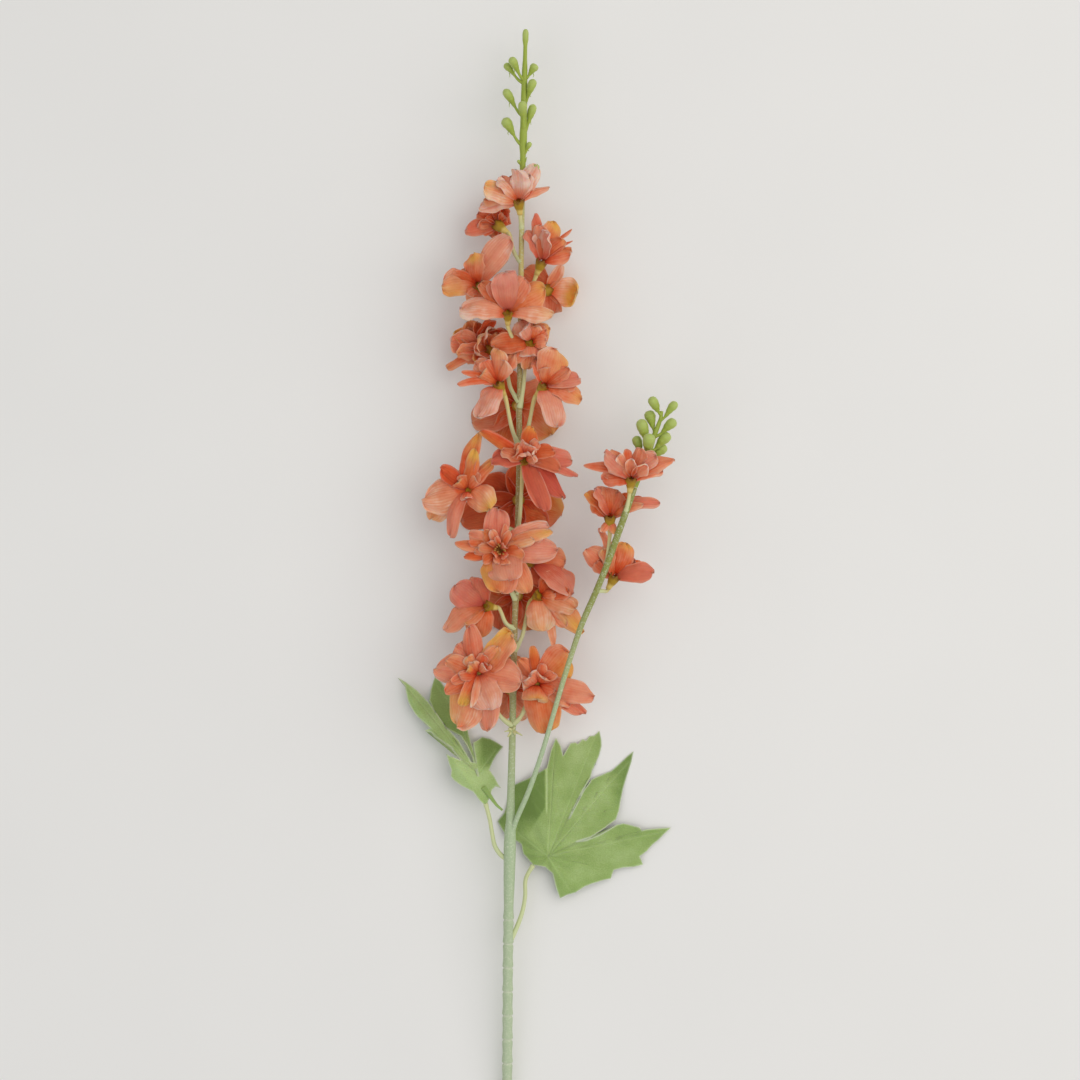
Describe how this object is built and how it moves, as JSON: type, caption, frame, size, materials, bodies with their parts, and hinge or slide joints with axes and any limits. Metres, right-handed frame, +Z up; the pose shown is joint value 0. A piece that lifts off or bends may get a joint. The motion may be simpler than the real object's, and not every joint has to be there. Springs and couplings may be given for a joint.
{
  "type": "delphinium flower spike",
  "caption": "Long artificial delphinium stem lying down: a spike of ruffled florets with buds at its tip, a short side branch and two lobed leaves.",
  "frame": {"origin": "middle of the bounding box in plan, on the surface that the stem lies on", "axes": "+Y along the stem from its cut end to its topmost bud, +Z up off the surface, +X to the right seen from above"},
  "size_m": [0.2098, 0.8604, 0.07],
  "materials": {
    "petals": "printed polyester cloth, matte",
    "leaves": "printed polyester cloth, matte, veins pressed in",
    "stem": "moulded, dusty bloom",
    "branch": "moulded, matte",
    "buds": "moulded, matte"
  },
  "bodies": {
    "root": {"main_stem": "stem", "side_branch": "branch", "spike_tip": "buds", "side_tip": "buds", "floret_01": "petals", "floret_02": "petals", "floret_03": "petals", "floret_04": "petals", "floret_05": "petals", "floret_06": "petals", "floret_07": "petals", "floret_08": "petals", "floret_09": "petals", "floret_10": "petals", "floret_11": "petals", "floret_12": "petals", "floret_13": "petals", "floret_14": "petals", "floret_15": "petals", "floret_16": "petals", "floret_17": "petals", "floret_18": "petals", "floret_19": "petals", "floret_20": "petals", "floret_21": "petals", "floret_22": "petals", "side_floret_1": "petals", "side_floret_2": "petals", "side_floret_3": "petals", "leaf_right": "leaves", "leaf_left": "leaves"}
  },
  "joints": []
}
